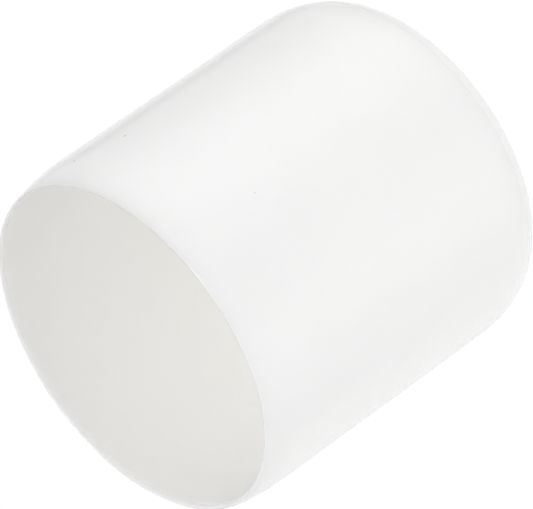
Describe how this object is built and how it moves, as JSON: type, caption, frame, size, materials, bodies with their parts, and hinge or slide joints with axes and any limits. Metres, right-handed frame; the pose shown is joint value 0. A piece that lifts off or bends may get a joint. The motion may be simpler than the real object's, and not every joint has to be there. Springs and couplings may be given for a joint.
{
  "type": "pipe cap",
  "caption": "Slip-over end cap for a round pipe: a white moulded vinyl cup with a rounded closed end, straight thin wall and a lip that thins to the open mouth.",
  "frame": {"origin": "middle of the outer face of the closed end, which the cap stands on", "axes": "+Z along the axis from the closed end to the open mouth; the cap is the same all round, so X and Y are free"},
  "size_m": [0.051, 0.051, 0.0535],
  "materials": {
    "white_vinyl": "smooth gloss outside with a faint orange-peel ripple, warmer and satin inside"
  },
  "bodies": {
    "root": {"pipe_cap": "white_vinyl"}
  },
  "joints": []
}
